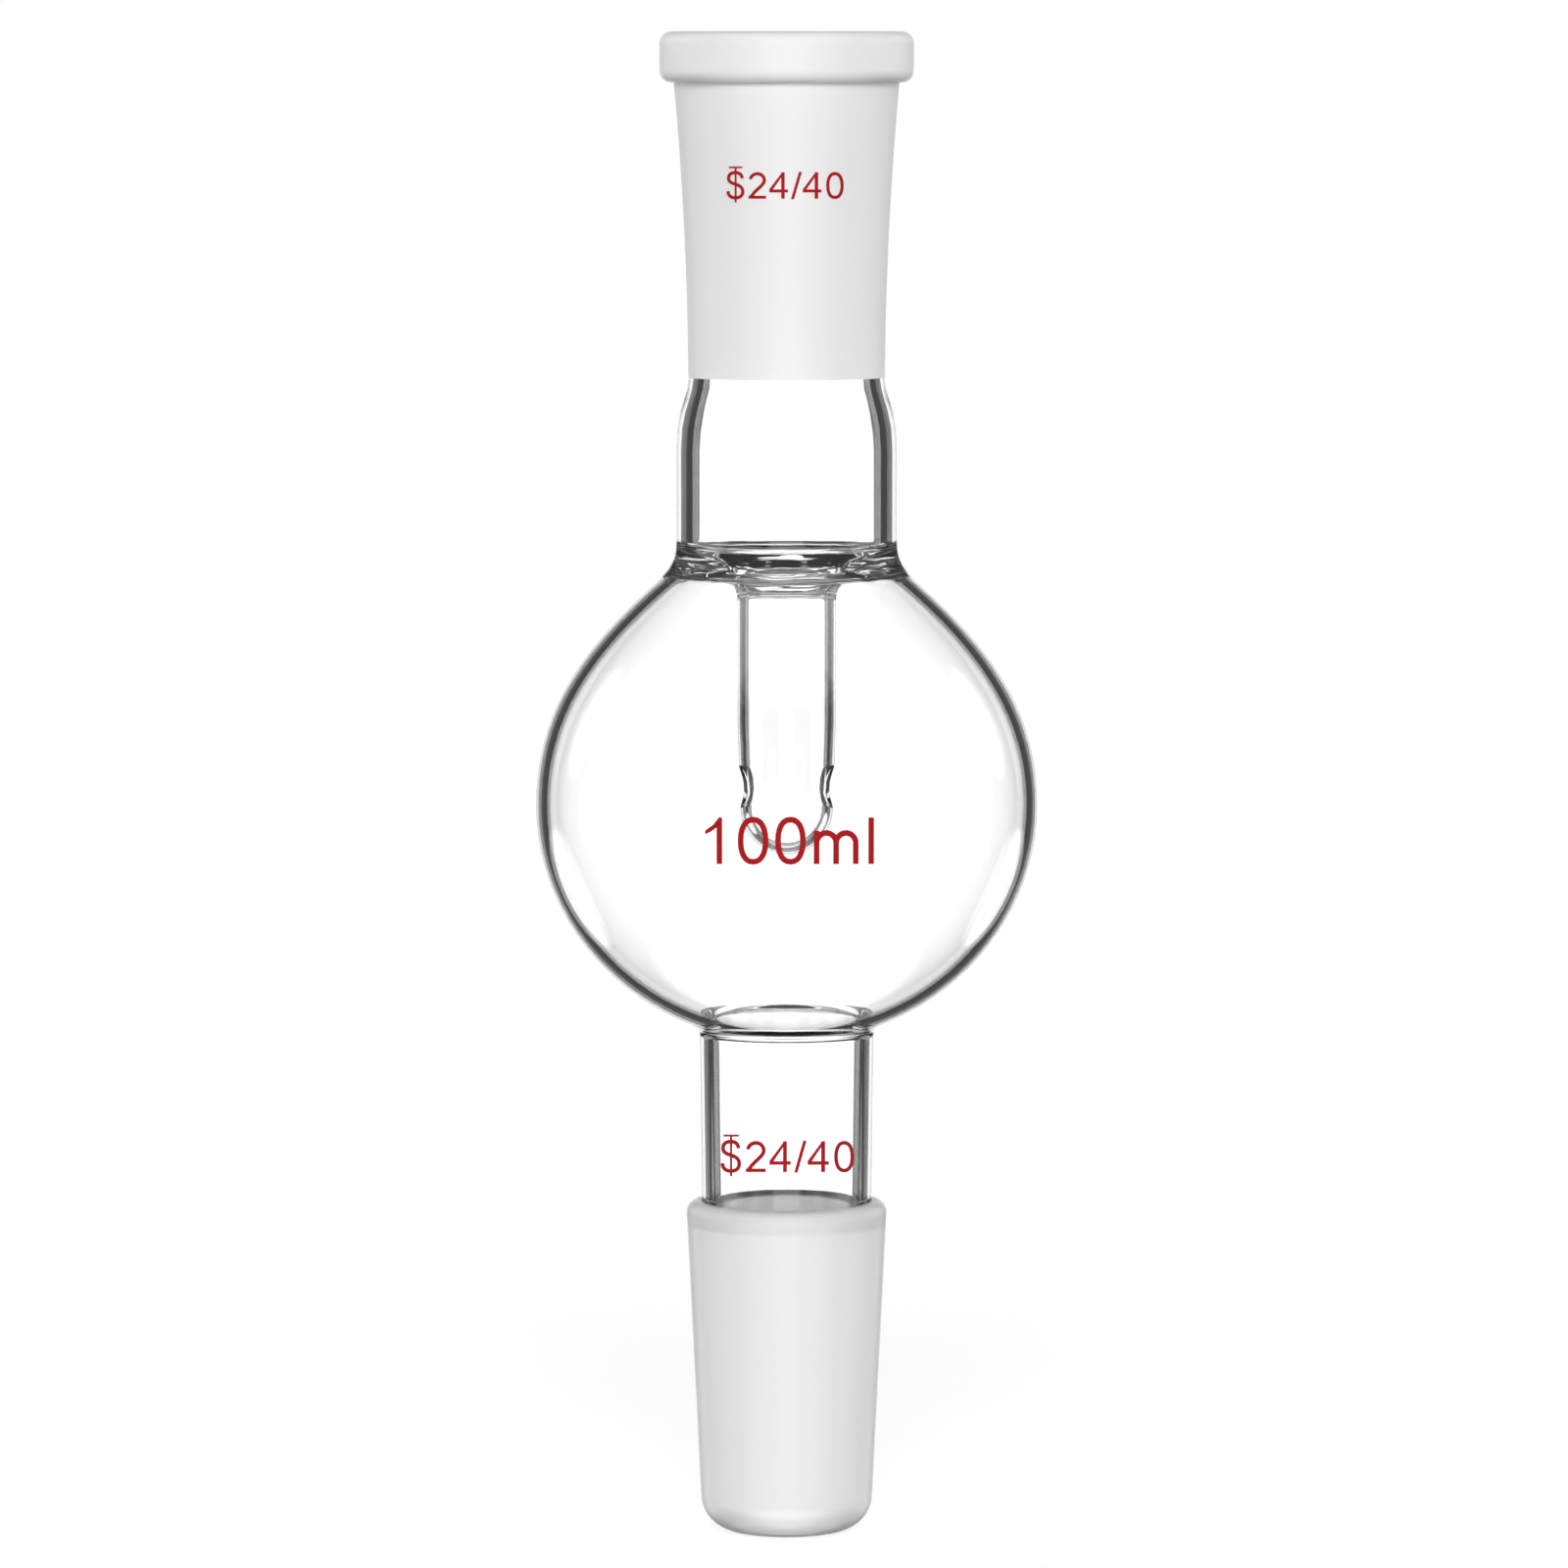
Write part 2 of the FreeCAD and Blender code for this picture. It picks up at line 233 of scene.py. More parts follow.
class Section:
    """The outline of the glass on one side of its axis, as smooth spans of sampled points.

    A sample is a point and the direction that faces out of the glass there."""

    def __init__(self, radius, height):
        self.here = Vector((radius, height))
        self.spans = []
        self.finish = CLEAR
        self.drilled = False

    def span(self, poles, weights=None):
        """A Bezier curve from here, with weights where it is part of a circle or an oval."""
        poles = [self.here, *map(Vector, poles)]
        weights = weights or [1] * len(poles)
        length = sum((b - a).length for a, b in zip(poles, poles[1:]))
        turn = (poles[1] - poles[0]).angle(poles[-1] - poles[-2], 0)
        steps = max(1, math.ceil(length / LINE_STEP), math.ceil(turn / TURN_STEP))
        samples = []
        for step in range(steps + 1):
            level = [Vector((p.x * w, p.y * w, w)) for p, w in zip(poles, weights)]
            while len(level) > 2:
                level = [a.lerp(b, step / steps) for a, b in zip(level, level[1:])]
            before, after = level
            point = before.lerp(after, step / steps)
            along = after.xy / after.z - before.xy / before.z
            samples.append((point.xy / point.z, Vector((along.y, -along.x)).normalized()))
        self.spans.append((samples, self.finish, self.drilled))
        self.here = poles[-1]

    def line(self, radius, height):
        self.span([(radius, height)])

    def arc(self, handle, end):
        """An arc of a circle whose end tangents meet at the handle."""
        turn = (Vector(handle) - self.here).angle(Vector(end) - Vector(handle))
        self.span([handle, end], [1, math.cos(turn / 2), 1])

    def corner(self, point, onward, radius, finish=None):
        """A line towards a corner, and a round that turns it towards the next point.

        A finish given here begins with the round."""
        point, onward = Vector(point), Vector(onward)
        back = (self.here - point).normalized()
        ahead = (onward - point).normalized()
        reach = radius / math.tan(back.angle(ahead) / 2)
        start = point + back * reach
        if (start - self.here).length > SHORTEST_LINE:
            self.line(*start)
        if finish is not None:
            self.finish = finish
        self.arc(point, point + ahead * reach)

    def oval(self, radius, depth, start_angle, end_angle):
        """An arc of an oval about the middle of the bulb."""
        half = (end_angle - start_angle) / 2
        weight = math.cos(half)
        handle = (radius * math.cos(start_angle + half) / weight,
                  bulb_middle_z + depth * math.sin(start_angle + half) / weight)
        end = (radius * math.cos(end_angle), bulb_middle_z + depth * math.sin(end_angle))
        self.span([handle, end], [1, weight, 1])

    def outer_radius(self, height):
        """Distance of the outside from the axis at a height."""
        found = 0
        for samples, _, _ in self.spans:
            for (a, _), (b, _) in zip(samples, samples[1:]):
                if a.y <= height < b.y:
                    found = max(found, a.lerp(b, (height - a.y) / (b.y - a.y)).x)
        return found


def tube_meets_oval(radius, depth, tube, round_reach):
    """A round between a tube and the lower half of an oval: the oval's angle where it ends,
    its handle and its end."""
    distance = tube + round_reach
    angle = -math.acos(distance / radius)
    end = Vector((distance, bulb_middle_z + depth * math.sin(angle)))
    slope = -depth * math.cos(angle) / (radius * math.sin(angle))
    return angle, Vector((tube, end.y - slope * (distance - tube))), end


def draw_tube_outside(section):
    """The vapour tube from its closed tip up to the underside of the ring seal."""
    section.arc((TIP_RADIUS, tip_z), (TIP_RADIUS, tip_middle_z))
    section.drilled = True
    section.line(TIP_RADIUS + (TUBE_RADIUS - TIP_RADIUS) * band_top_share, hole_band_top_z)
    section.drilled = False
    section.line(TUBE_RADIUS, narrowing_z)


def draw_bulb_inside(section):
    """The underside of the ring seal, and the inner wall down to the drain."""
    inner_radius = BULB_RADIUS - BULB_WALL
    inner_drop = BULB_DROP - BULB_WALL
    inward = Vector((-math.cos(SHOULDER_ANGLE), -math.sin(SHOULDER_ANGLE)))
    shoulder_top = seal_foot + inward * BULB_WALL
    rise = underside_z - shoulder_top.y
    underside_edge = (shoulder_top.x - rise * math.tan(SHOULDER_ANGLE), underside_z)
    section.corner((TUBE_RADIUS, underside_z), underside_edge, TUBE_ROOT_RADIUS, WORKED)
    section.corner(underside_edge, shoulder_top, SEAL_CORNER_RADIUS)
    section.line(*shoulder_top)
    section.finish = CLEAR
    share = 1 - BULB_WALL / BULB_RADIUS
    section.span([shoulder_top + shoulder_fall * (SHOULDER_TOP_HANDLE * share),
                  (inner_radius, bulb_middle_z + SHOULDER_SIDE_HANDLE * share),
                  (inner_radius, bulb_middle_z)])
    bore = LOWER_TOP_RADIUS - LOWER_WALL
    angle, corner, end = tube_meets_oval(inner_radius, inner_drop, bore, BULB_DRAIN_ROUND)
    section.oval(inner_radius, inner_drop, 0, angle)
    section.span([corner, corner - Vector((0, (end - corner).length))])


def draw_lower_bore(section):
    """The bore of the lower tube and of the cone, and the lip of the drawn-in end."""
    bore_foot = LOWER_FOOT_RADIUS - LOWER_WALL
    cone_top_z = CONE_LENGTH - CONE_BORE_SHOULDER
    cone_top = Vector((side_of_cone(cone_top_z) - CONE_WALL, cone_top_z))
    handle = CONE_BORE_SHOULDER * CONE_BORE_HANDLE
    end_turn = (side_of_cone(0) - CONE_WALL, CONE_WALL)
    lip = end_round_start().x
    section.line(bore_foot, CONE_LENGTH)
    section.span([(bore_foot, CONE_LENGTH - handle), (cone_top.x, cone_top_z + handle), cone_top])
    section.corner(end_turn, (0, CONE_WALL), CONE_END_ROUND - CONE_WALL)
    section.line(lip, CONE_WALL)
    section.arc((lip - CONE_WALL / 2, CONE_WALL), (lip - CONE_WALL / 2, CONE_WALL / 2))
    section.arc((lip - CONE_WALL / 2, 0), (lip, 0))


def end_round_start():
    """Where the outside of the cone's drawn-in end touches the plane that it stands on."""
    return Vector((side_of_cone(0) - CONE_END_ROUND * math.tan(cone_end_turn / 2), 0))


def draw_cone_outside(section):
    """The drawn-in end, the ground taper, and the shoulder up to the foot of the lower tube."""
    middle = end_round_start() + Vector((0, CONE_END_ROUND))
    begin = 0
    for finish, turn in ((CLEAR, CONE_GROUND_FOOT_TURN), (GROUND, cone_end_turn)):
        section.finish = finish
        half = (begin + turn) / 2
        reach = CONE_END_ROUND / math.cos((turn - begin) / 2)
        section.arc(middle + Vector((math.sin(half), -math.cos(half))) * reach,
                    middle + Vector((math.sin(turn), -math.cos(turn))) * CONE_END_ROUND)
        begin = turn
    section.line(side_of_cone(CONE_GROUND_TOP), CONE_GROUND_TOP)
    section.finish = HAZY
    section.corner((side_of_cone(CONE_LENGTH), CONE_LENGTH), (LOWER_FOOT_RADIUS, CONE_LENGTH),
                   CONE_SHOULDER_ROUND)
    section.line(LOWER_FOOT_RADIUS, CONE_LENGTH)
    section.finish = CLEAR


def draw_bulb_outside(section):
    """The lower tube, the bulb, and the hollow at the foot of the neck."""
    angle, corner, end = tube_meets_oval(BULB_RADIUS, BULB_DROP, LOWER_TOP_RADIUS,
                                         BULB_FOOT_FILLET)
    hollow_reach = SEAL_HOLLOW_RADIUS * math.tan(SHOULDER_ANGLE / 2)
    section.line(LOWER_TOP_RADIUS, corner.y - (end - corner).length)
    section.span([corner, end])
    section.oval(BULB_RADIUS, BULB_DROP, angle, 0)
    section.span([(BULB_RADIUS, bulb_middle_z + SHOULDER_SIDE_HANDLE),
                  seal_foot + shoulder_fall * SHOULDER_TOP_HANDLE, seal_foot])
    section.finish = WORKED
    section.arc(seal_foot - shoulder_fall * hollow_reach, (NECK_RADIUS, neck_foot_z))
    section.finish = CLEAR


def draw_socket_outside(section):
    """The neck, the socket's wall and the bead with its flat rim."""
    foot = Vector((bore_of_socket(socket_foot_z) + SOCKET_WALL_FOOT, socket_foot_z))
    top = Vector((bore_of_socket(bead_foot_z) + SOCKET_WALL_TOP, bead_foot_z))
    middle_z = (socket_foot_z + bead_foot_z) / 2
    middle = Vector((bore_of_socket(middle_z) + SOCKET_WALL_MIDDLE, middle_z))
    section.line(NECK_RADIUS, widening_z)
    section.span([(NECK_RADIUS, widening_z + NECK_SHOULDER * NECK_OUTSIDE_HANDLE),
                  (foot.x, socket_foot_z - NECK_SHOULDER * SOCKET_FOOT_HANDLE), foot])
    section.finish = SATIN
    section.span([middle * 2 - (foot + top) / 2, top])
    section.corner((BEAD_RADIUS, bead_foot_z), (BEAD_RADIUS, rim_z), BEAD_ROUND)
    section.corner((BEAD_RADIUS, rim_z), (JOINT_RADIUS, rim_z), BEAD_ROUND)
    section.line(JOINT_RADIUS + MOUTH_BEVEL, rim_z)


def draw_socket_bore(section):
    """The bevelled mouth, the ground bore, and the wider bore of the neck below it."""
    bevel_foot_z = rim_z - MOUTH_BEVEL
    bore_foot = bore_of_socket(socket_foot_z)
    section.line(bore_of_socket(bevel_foot_z), bevel_foot_z)
    section.finish = GROUND
    section.line(bore_foot, socket_foot_z)
    section.finish = CLEAR
    section.span([(bore_foot, socket_foot_z - NECK_SHOULDER * SOCKET_FOOT_HANDLE),
                  (neck_bore, widening_z + NECK_SHOULDER * NECK_BORE_HANDLE),
                  (neck_bore, widening_z)])


def draw_tube_bore(section):
    """The funnel of the ring seal, and the bore of the vapour tube down to its tip."""
    tube_bore = TUBE_RADIUS - TUBE_WALL
    tip_bore = TIP_RADIUS - TUBE_WALL
    throat_z = funnel_edge_z - (neck_bore - tube_bore) * math.tan(FUNNEL_FALL)
    section.corner((neck_bore, funnel_edge_z), (tube_bore, throat_z), FUNNEL_EDGE_RADIUS, WORKED)
    section.corner((tube_bore, throat_z), (tube_bore, narrowing_z), THROAT_RADIUS)
    section.finish = CLEAR
    section.line(tube_bore, narrowing_z)
    section.line(tip_bore + (tube_bore - tip_bore) * band_top_share, hole_band_top_z)
    section.drilled = True
    section.line(tip_bore, tip_middle_z)
    section.drilled = False
    section.arc((tip_bore, tip_middle_z - tip_bore), (0, tip_middle_z - tip_bore))


def glass_section():
    """The whole outline, from the tip of the vapour tube round to the tip of its bore."""
    section = Section(0, tip_z)
    draw_tube_outside(section)
    draw_bulb_inside(section)
    draw_lower_bore(section)
    draw_cone_outside(section)
    draw_bulb_outside(section)
    draw_socket_outside(section)
    draw_socket_bore(section)
    draw_tube_bore(section)
    return section


def smooth_joins(spans):
    """Gives two spans that meet without a hard edge the same facing where they meet."""
    for (before, _, _), (after, _, _) in zip(spans, spans[1:]):
        (point, facing_in), (_, facing_out) = before[-1], after[0]
        if facing_in.angle(facing_out) < KINK:
            shared = (facing_in + facing_out).normalized()
            before[-1] = after[0] = (point, shared)


class Surface:
    """Faces with a facing of their own at each corner, gathered into one mesh."""

    def __init__(self):
        self.points = []
        self.faces = []
        self.facings = []
        self.finishes = []

    def add(self, point):
        self.points.append(Vector(point))
        return len(self.points) - 1

    def face(self, corners, facings, finish):
        """A face, turned so that its front agrees with the facings of its corners."""
        a, b, c = (self.points[i] for i in corners[:3])
        front = (b - a).cross(c - a) if len(corners) == 3 else \
            (c - a).cross(self.points[corners[3]] - b)
        if front.dot(sum(facings, Vector((0, 0, 0)))) < 0:
            corners, facings = corners[::-1], facings[::-1]
        self.faces.append(corners)
        self.facings.extend(facings)
        self.finishes.append(finish)

    def mesh(self, name):
        mesh = bpy.data.meshes.new(name)
        mesh.from_pydata([p * MM for p in self.points], [], self.faces)
        mesh.polygons.foreach_set("material_index", self.finishes)
        mesh.polygons.foreach_set("use_smooth", [True] * len(self.faces))
        mesh.normals_split_custom_set([f.normalized() for f in self.facings])
        mesh.update()
        return mesh


def turned(facing, column):
    """A direction of the section, turned about the axis to a column."""
    angle = 2 * math.pi * column / COLUMNS
    return Vector((facing.x * math.cos(angle), facing.x * math.sin(angle), facing.y))


def add_ring(surface, point):
    """The points of one row round the axis, or the one point on the axis."""
    if point.x < ON_AXIS:
        return [surface.add((0, 0, point.y))] * COLUMNS
    return [surface.add(turned(point, column)) for column in range(COLUMNS)]


def in_patch(column):
    """Whether the face after a column belongs to the patch round one of the two holes."""
    return any((column + HOLE_SIDE_COLUMNS - middle) % COLUMNS < 2 * HOLE_SIDE_COLUMNS
               for middle in HOLE_COLUMNS)


def lathe(section):
    """The glass turned about its axis, with its two side holes."""
    surface = Surface()
    smooth_joins(section.spans)
    ring = add_ring(surface, section.spans[0][0][0][0])
    drilled_bands = []
    for samples, finish, drilled in section.spans:
        rings = [ring]
        for (_, facing_a), (end, facing_b) in zip(samples, samples[1:]):
            onward = add_ring(surface, end)
            for column in range(COLUMNS):
                if drilled and in_patch(column):
                    continue
                after = (column + 1) % COLUMNS
                corners = [ring[column], ring[after], onward[after], onward[column]]
                facings = [turned(facing_a, column), turned(facing_a, column + 1),
                           turned(facing_b, column + 1), turned(facing_b, column)]
                kept = [i for i in range(4) if corners.index(corners[i]) == i]
                surface.face([corners[i] for i in kept], [facings[i] for i in kept], finish)
            ring = onward
            rings.append(ring)
        if drilled:
            drilled_bands.append((samples, rings))
    for middle_column in HOLE_COLUMNS:
        drill(surface, drilled_bands, middle_column)
    return surface.mesh("glass")


class DrilledWall:
    """One face of the vapour tube's wall near a hole that is drilled along x."""

    def __init__(self, samples, rings, middle_column):
        self.start, self.facing = samples[0][0], samples[1][1]
        self.slope = (samples[-1][0].x - self.start.x) / (samples[-1][0].y - self.start.y)
        self.turn = 2 * math.pi * middle_column / COLUMNS
        self.outward = 1 if self.facing.x > 0 else -1
        self.border = self.walk(rings, middle_column)

    def walk(self, rings, middle):
        """The grid points round the patch, anticlockwise seen along the drill from outside."""
        right, left = middle + HOLE_SIDE_COLUMNS, middle - HOLE_SIDE_COLUMNS
        rows = sorted(range(len(rings)), reverse=self.outward < 0)
        low, high = rows[0], rows[-1]
        steps = [(row, right) for row in rows[:-1]]
        steps += [(high, column) for column in range(right, left, -1)]
        steps += [(row, left) for row in reversed(rows[1:])]
        steps += [(low, column) for column in range(left, right)]
        return [rings[row][column % COLUMNS] for row, column in steps]

    def radius(self, height):
        return self.start.x + (height - self.start.y) * self.slope

    def place(self, across, up, depth=0.0):
        """A point at a place in the drill's view, and how the wall faces there."""
        height = side_hole_z + up
        radius = self.radius(height)
        x = math.sqrt(radius ** 2 - across ** 2)
        facing = Vector((self.facing.x * x / radius, self.facing.x * across / radius,
                         self.facing.y))
        return Vector((x - self.outward * depth, across, height)), facing

    def to_world(self, vector):
        cos, sin = math.cos(self.turn), math.sin(self.turn)
        return Vector((vector.x * cos - vector.y * sin, vector.x * sin + vector.y * cos, vector.z))

    def view(self, point):
        """Where a point of the grid is in the drill's view."""
        cos, sin = math.cos(-self.turn), math.sin(-self.turn)
        return point.x * sin + point.y * cos, point.z - side_hole_z


def open_wall(surface, wall):
    """Faces from the border of a patch to the hole, and the round of its rim.

    Returns the ring of points in which they end, each with its facing."""
    views = [wall.view(surface.points[i]) for i in wall.border]
    angles = [math.atan2(up, across) for across, up in views]
    rim = SIDE_HOLE_RADIUS + SIDE_HOLE_EDGE_RADIUS
    ring = [(i, wall.to_world(wall.place(*view)[1])) for i, view in zip(wall.border, views)]
    for step in range(1, HOLE_RINGS + 1):
        onward = []
        for view, angle in zip(views, angles):
            place = Vector(view).lerp(Vector((rim * math.cos(angle), rim * math.sin(angle))),
                                      step / HOLE_RINGS)
            point, facing = wall.place(*place)
            onward.append((surface.add(wall.to_world(point)), wall.to_world(facing)))
        join_rings(surface, ring, onward)
        ring = onward
    for step in range(1, EDGE_RINGS + 1):
        turn = math.pi / 2 * step / EDGE_RINGS
        reach = SIDE_HOLE_RADIUS + SIDE_HOLE_EDGE_RADIUS * (1 - math.sin(turn))
        depth = SIDE_HOLE_EDGE_RADIUS * (1 - math.cos(turn))
        onward = []
        for angle in angles:
            point, facing = wall.place(reach * math.cos(angle), reach * math.sin(angle), depth)
            hole_facing = Vector((0, -math.cos(angle), -math.sin(angle)))
            blend = facing * math.cos(turn) + hole_facing * math.sin(turn)
            onward.append((surface.add(wall.to_world(point)), wall.to_world(blend)))
        join_rings(surface, ring, onward)
        ring = onward
    return ring


def drill(surface, bands, middle_column):
    """One hole through the vapour tube's wall, with rounded rims."""
    outer, bore = [open_wall(surface, DrilledWall(samples, rings, middle_column))
                   for samples, rings in bands]
    ring = outer
    for step in range(1, WALL_RINGS + 1):
        onward = bore if step == WALL_RINGS else [
            (surface.add(surface.points[a].lerp(surface.points[b], step / WALL_RINGS)), facing)
            for (a, facing), (b, _) in zip(outer, bore)]
        join_rings(surface, ring, onward)
        ring = onward


def join_rings(surface, ring, onward):
    """Faces between two rings of as many points, each with its facing."""
    for i in range(len(ring)):
        corners = [ring[i - 1], ring[i], onward[i], onward[i - 1]]
        surface.face([c[0] for c in corners], [c[1] for c in corners], CLEAR)


def node_material(name):
    material = bpy.data.materials.new(name)
    material.use_nodes = True
    nodes = material.node_tree.nodes
    return material, nodes, material.node_tree.links, nodes["Principled BSDF"]


def glass_material(name, grey, roughness, clearness, scale, detail, relief):
    """Glass with an uneven surface: see-through, or partly white from its scratches."""
    material, nodes, links, shader = node_material(name)
    shader.inputs["Base Color"].default_value = (grey, grey, grey, 1)
    shader.inputs["Transmission Weight"].default_value = clearness
    shader.inputs["IOR"].default_value = GLASS_IOR
    shader.inputs["Roughness"].default_value = roughness
    coordinates = nodes.new("ShaderNodeTexCoord")
    noise = nodes.new("ShaderNodeTexNoise")
    noise.inputs["Scale"].default_value = scale
    noise.inputs["Detail"].default_value = detail
    bump = nodes.new("ShaderNodeBump")
    bump.inputs["Strength"].default_value = 1
    bump.inputs["Distance"].default_value = relief * MM
    links.new(coordinates.outputs["Object"], noise.inputs["Vector"])
    links.new(noise.outputs["Fac"], bump.inputs["Height"])
    links.new(bump.outputs["Normal"], shader.inputs["Normal"])
    return material


def print_material():
    """Red enamel, a little uneven where it was printed thinly."""
    material, nodes, links, shader = node_material("red_enamel")
    noise = nodes.new("ShaderNodeTexNoise")
    noise.inputs["Scale"].default_value = ENAMEL_PATCH_SCALE
    noise.inputs["Detail"].default_value = ENAMEL_PATCH_DETAIL
    colours = nodes.new("ShaderNodeValToRGB")
    for element, colour in zip(colours.color_ramp.elements, (ENAMEL_DEEP, ENAMEL_THIN)):
        element.color = colour
    coordinates = nodes.new("ShaderNodeTexCoord")
    links.new(coordinates.outputs["Object"], noise.inputs["Vector"])
    links.new(noise.outputs["Fac"], colours.inputs["Fac"])
    links.new(colours.outputs["Color"], shader.inputs["Base Color"])
    shader.inputs["Roughness"].default_value = ENAMEL_ROUGHNESS
    shader.inputs["Specular IOR Level"].default_value = ENAMEL_SHINE
    return material


def bow(across, up, reach, rise, start, end, square=1.0):
    """Points on an arc of an oval, drawn squarer where square is under 1."""
    points = []
    for step in range(BOW_STEPS + 1):
        angle = math.radians(start + (end - start) * step / BOW_STEPS)
        x, y = math.cos(angle), math.sin(angle)
        points.append((across + reach * math.copysign(abs(x) ** square, x),
                       up + rise * math.copysign(abs(y) ** square, y)))
    return points


def sweep(*poles, steps=SWEEP_STEPS):
    """Points on a Bezier curve."""
    points = []
    for step in range(steps + 1):
        level = [Vector(p) for p in poles]
        while len(level) > 1:
            level = [a.lerp(b, step / steps) for a, b in zip(level, level[1:])]
        points.append(tuple(level[0]))
    return points


def block(left, right, low, high):
    return [(left, low), (right, low), (right, high), (left, high)]


# A glyph has blocks, which are outlines with straight sides, and lines that the pen draws:
# open ones as strokes, and closed ones.
def zero():
    return {"closed": [bow(0.335, 0.5, 0.272, 0.452, 0, 360, 0.88)[:-1]]}


def one():
    return {"blocks": [[(0.248, 0), (0.371, 0), (0.371, 1), (0.297, 1), (0.17, 0.84), (0, 0.723),
                        (0, 0.637), (0.13, 0.70), (0.248, 0.785)]]}


def two():
    top = bow(0.335, 0.70, 0.265, 0.245, 172, 0)
    return {"strokes": [top + sweep((0.60, 0.70), (0.60, 0.50), (0.26, 0.36), (0.09, 0.06))[1:]],
            "blocks": [block(0.0, 0.665, 0.0, 0.114)]}


def four():
    diagonal = [(0, 0.30), (0.10, 0.30), (0.137, 0.352), (0.52, 0.902), (0.52, 1), (0.487, 1),
                (0, 0.36)]
    return {"blocks": [block(0.449, 0.582, 0, 1), block(0, 0.707, 0.237, 0.352), diagonal]}


def slash():
    return {"blocks": [[(0, -0.02), (0.115, -0.02), (0.418, 1.02), (0.303, 1.02)]]}


def letter_m():
    first = bow(0.275, 0.45, 0.2125, 0.218, 168, 0) + [(0.4875, 0)]
    second = bow(0.702, 0.45, 0.2145, 0.218, 168, 0) + [(0.9165, 0)]
    return {"strokes": [first, second], "blocks": [block(0, 0.125, 0, 0.715)]}


def letter_l():
    return {"blocks": [block(0, 0.123, 0, 1)]}


def taper_sign():
    """The sign for a standard taper: an S with a T through it."""
    poles = ((0.60, 0.77), (0.57, 0.99), (0.34, 0.99), (0.08, 0.99), (0.08, 0.76), (0.08, 0.62),
             (0.34, 0.55), (0.62, 0.47), (0.62, 0.28), (0.62, 0.035), (0.34, 0.035),
             (0.07, 0.035), (0.06, 0.29))
    letter_s = [poles[0]]
    for i in range(0, len(poles) - 1, 2):
        letter_s += sweep(*poles[i:i + 3], steps=SIGN_STEPS)[1:]
    return {"strokes": [letter_s],
            "blocks": [block(0.311, 0.388, -0.14, 1.2), block(0.095, 0.608, 1.152, 1.22)]}


def stroke_sides(points, closed):
    """The two sides of a stroke of the pen along a line of points."""
    sides = ([], [])
    count = len(points)
    for i, point in enumerate(points):
        before = points[i - 1] if closed or i else point
        after = points[(i + 1) % count] if closed or i < count - 1 else point
        along = (Vector(after) - Vector(before)).normalized()
        across = Vector((-along.y, along.x)) * (PEN / 2)
        sides[0].append(Vector(point) + across)
        sides[1].append(Vector(point) - across)
    return sides


def slab(outline_faces):
    """A plate from height 0 to height 1, made of faces given by their corners."""
    plate = bmesh.new()
    for corners in outline_faces:
        plate.faces.new([plate.verts.new((*corner, 0)) for corner in corners])
    bmesh.ops.remove_doubles(plate, verts=plate.verts, dist=MERGE_DISTANCE)
    bmesh.ops.recalc_face_normals(plate, faces=plate.faces)
    if plate.faces[0].normal.z > 0:
        bmesh.ops.reverse_faces(plate, faces=plate.faces)
    grown = bmesh.ops.extrude_face_region(plate, geom=plate.faces[:])
    for item in grown["geom"]:
        if isinstance(item, bmesh.types.BMVert):
            item.co.z = 1
    bmesh.ops.recalc_face_normals(plate, faces=plate.faces)
    return plate


def glyph_plates(glyph):
    """The parts of one letter, as lists of faces."""
    for outline in glyph.get("blocks", []):
        yield [outline]
    for key, closed in (("strokes", False), ("closed", True)):
        for points in glyph.get(key, []):
            left, right = stroke_sides(points, closed)
            count = len(points)
            yield [[left[i], right[i], right[(i + 1) % count], left[(i + 1) % count]]
                   for i in range(count if closed else count - 1)]


def union(first, second):
    """Two closed plates made into one."""
    joined = first.modifiers.new("union", "BOOLEAN")
    joined.operation = "UNION"
    joined.solver = "EXACT"
    joined.object = second
    depsgraph = bpy.context.evaluated_depsgraph_get()
    mesh = bpy.data.meshes.new_from_object(first.evaluated_get(depsgraph))
    first.modifiers.clear()
    first.data = mesh
    bpy.data.objects.remove(second)


def letter(glyph):
    """One letter as a plate, from height 0 to height 1."""
    piece = None
    for faces in glyph_plates(glyph):
        plate = slab(faces)
        mesh = bpy.data.meshes.new("plate")
        plate.to_mesh(mesh)
        plate.free()
        part = bpy.data.objects.new("plate", mesh)
        bpy.context.scene.collection.objects.link(part)
        if piece is None:
            piece = part
        else:
            union(piece, part)
    return piece


def flat_text(letters):
    """Letters side by side in one plate, from glyphs and their left edges."""
    text = bmesh.new()
    for glyph, offset in letters:
        piece = letter(glyph)
        start = len(text.verts)
        text.from_mesh(piece.data)
        text.verts.ensure_lookup_table()
        for vert in text.verts[start:]:
            vert.co.x += offset
        bpy.data.objects.remove(piece)
    return text


def cut_grid(text):
    """Cuts a flat text finely enough to follow the glass."""
    for axis in (0, 1):
        values = [v.co[axis] for v in text.verts]
        low, extent = min(values), max(values) - min(values)
        cuts = math.ceil(extent / PRINT_GRID)
        for cut in range(1, cuts):
            place, normal = Vector((0, 0, 0)), Vector((0, 0, 0))
            place[axis] = low + extent * cut / cuts
            normal[axis] = 1
            bmesh.ops.bisect_plane(text, geom=text.verts[:] + text.edges[:] + text.faces[:],
                                   plane_co=place, plane_no=normal)


